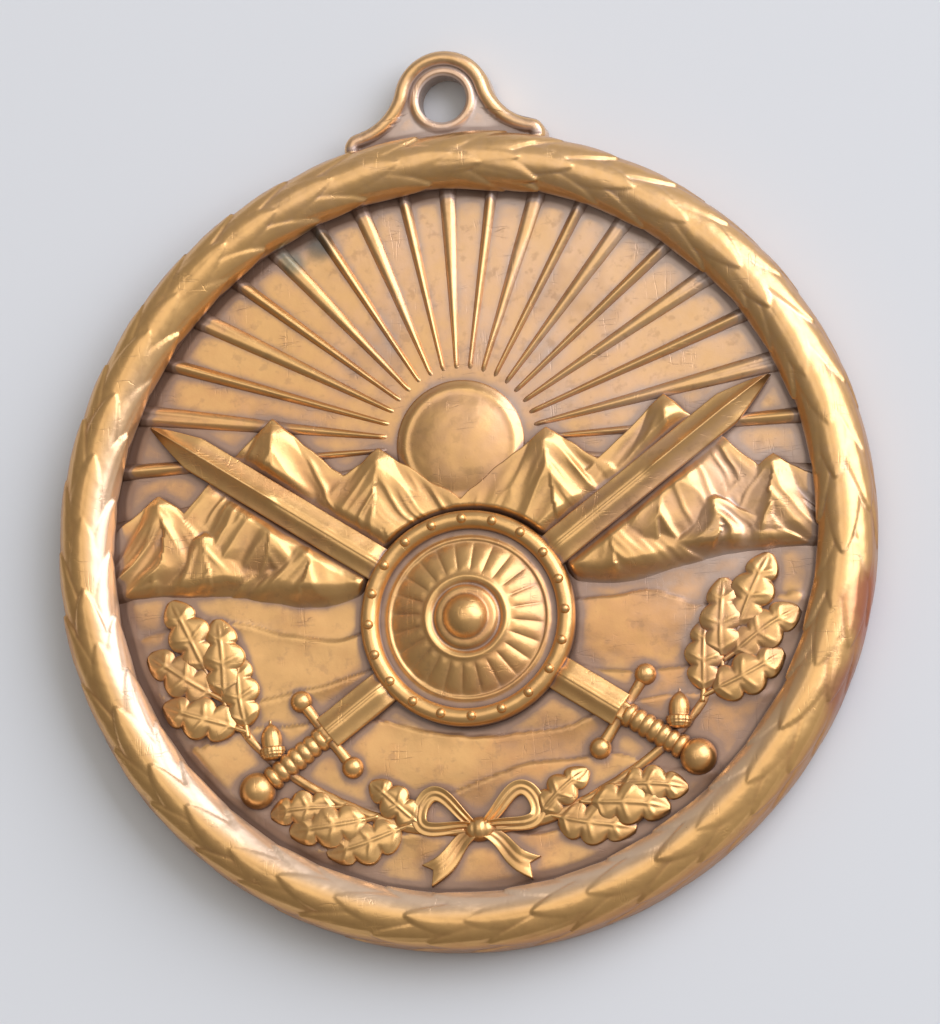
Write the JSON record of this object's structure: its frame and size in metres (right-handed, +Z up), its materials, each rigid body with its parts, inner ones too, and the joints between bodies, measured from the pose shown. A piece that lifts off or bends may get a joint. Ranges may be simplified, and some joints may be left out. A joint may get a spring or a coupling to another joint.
{
  "type": "service medal",
  "caption": "Round bronze service medal with a laurel-wreath border, a sunrise, shield and crossed-sword relief, and a pierced suspension lug.",
  "frame": {"origin": "on the disc's axis, in the plane of the reverse rim that the medal rests on", "axes": "+Z up out of the obverse face, +Y from the disc's middle towards the suspension lug, +X to the right when the obverse is read with the lug at the top"},
  "size_m": [0.036, 0.0396, 0.003],
  "materials": {
    "struck_bronze": "struck bronze with a worn golden-brown patina, darker in the recesses",
    "wreath_bronze": "rubbed golden bronze, bright on the leaf tips and copper-red on the flanks",
    "relief_bronze": "golden-brown bronze, polished by handling on the high points"
  },
  "bodies": {
    "root": {"medal_disc": "struck_bronze", "laurel_wreath": "wreath_bronze", "suspension_lug": "struck_bronze", "sun_disc": "relief_bronze", "sun_rays": "struck_bronze", "mountain_range": "relief_bronze", "sword_left": "relief_bronze", "sword_right": "relief_bronze", "round_shield": "relief_bronze", "oak_spray_left": "relief_bronze", "oak_spray_right": "relief_bronze", "ribbon_bow": "relief_bronze"}
  },
  "joints": []
}
